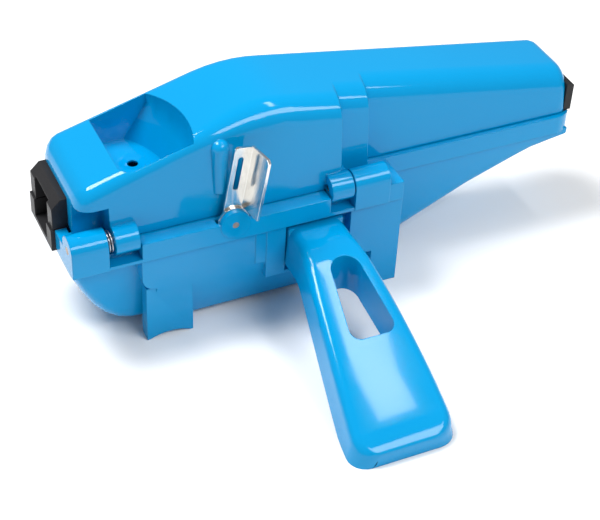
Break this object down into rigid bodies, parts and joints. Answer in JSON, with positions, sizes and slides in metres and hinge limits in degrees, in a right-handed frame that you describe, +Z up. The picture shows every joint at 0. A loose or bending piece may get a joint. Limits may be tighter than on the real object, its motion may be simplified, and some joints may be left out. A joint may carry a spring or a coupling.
{
  "type": "bike chain cleaner",
  "caption": "Hinged two-shell chain cleaning bath with a flared hand grip, chain guides at both ends, a filler recess, a fold-over steel hanger arm and turning brush rollers inside.",
  "frame": {"origin": "middle of the outline on the floor, under the feet", "axes": "+X along the chain from the wide end to the tail, -Y towards the grip, +Z up"},
  "size_m": [0.281, 0.183, 0.1132],
  "materials": {
    "blue_plastic": "glossy moulded",
    "black_plastic": "semi-matt",
    "plain_steel": "plain steel",
    "bright_steel": "bright rolled sheet",
    "pin_steel": "dull pin ends",
    "nylon_bristle": "nylon tufts",
    "sponge": "open foam",
    "magnet": "dull disc"
  },
  "bodies": {
    "base": {"lower_housing": "blue_plastic", "handle": "blue_plastic", "handle_screws": "plain_steel", "arm_washer": "bright_steel", "arm_pivot_pin": "pin_steel", "left_hinge_pin": "pin_steel", "right_hinge_pin": "pin_steel", "hinge_spring": "plain_steel", "lower_left_guide": "black_plastic", "lower_right_guide": "black_plastic", "lower_brush_frame": "black_plastic", "lower_axles": "plain_steel", "lower_sponge": "sponge", "sump_magnet": "magnet", "magnet_ring": "black_plastic"},
    "lid": {"upper_cover": "blue_plastic", "upper_left_guide": "black_plastic", "upper_right_guide": "black_plastic", "upper_brush_frame": "black_plastic", "upper_axles": "plain_steel", "upper_sponge": "sponge"},
    "arm": {"hanger_arm": "bright_steel"},
    "lower_brush_1_roller": {"lower_brush_1": "nylon_bristle"},
    "lower_brush_2_roller": {"lower_brush_2": "nylon_bristle"},
    "lower_brush_3_roller": {"lower_brush_3": "nylon_bristle"},
    "upper_brush_1_roller": {"upper_brush_1": "nylon_bristle"},
    "upper_brush_2_roller": {"upper_brush_2": "nylon_bristle"},
    "upper_brush_3_roller": {"upper_brush_3": "nylon_bristle"}
  },
  "joints": [
    {"name": "lid_hinge", "type": "hinge", "parent": "base", "child": "lid", "pos_m": [-0.1385, 0.028, 0.064], "axis": [1, 0, 0], "range_deg": [0, 3]},
    {"name": "arm_pivot", "type": "hinge", "parent": "base", "child": "arm", "pos_m": [-0.059, 0.02495, 0.061], "axis": [0, -1, 0], "range_deg": [0, 45]},
    {"name": "lower_brush_1_spin", "type": "hinge", "parent": "base", "child": "lower_brush_1_roller", "pos_m": [-0.0545, 0.063, 0.0492], "axis": [0, 1, 0], "continuous": true},
    {"name": "lower_brush_2_spin", "type": "hinge", "parent": "base", "child": "lower_brush_2_roller", "pos_m": [-0.0265, 0.063, 0.0492], "axis": [0, 1, 0], "continuous": true},
    {"name": "lower_brush_3_spin", "type": "hinge", "parent": "base", "child": "lower_brush_3_roller", "pos_m": [0.0015, 0.063, 0.0492], "axis": [0, 1, 0], "continuous": true},
    {"name": "upper_brush_1_spin", "type": "hinge", "parent": "lid", "child": "upper_brush_1_roller", "pos_m": [-0.0545, 0.063, 0.0754], "axis": [0, 1, 0], "continuous": true},
    {"name": "upper_brush_2_spin", "type": "hinge", "parent": "lid", "child": "upper_brush_2_roller", "pos_m": [-0.0265, 0.063, 0.0754], "axis": [0, 1, 0], "continuous": true},
    {"name": "upper_brush_3_spin", "type": "hinge", "parent": "lid", "child": "upper_brush_3_roller", "pos_m": [0.0015, 0.063, 0.0754], "axis": [0, 1, 0], "continuous": true}
  ]
}
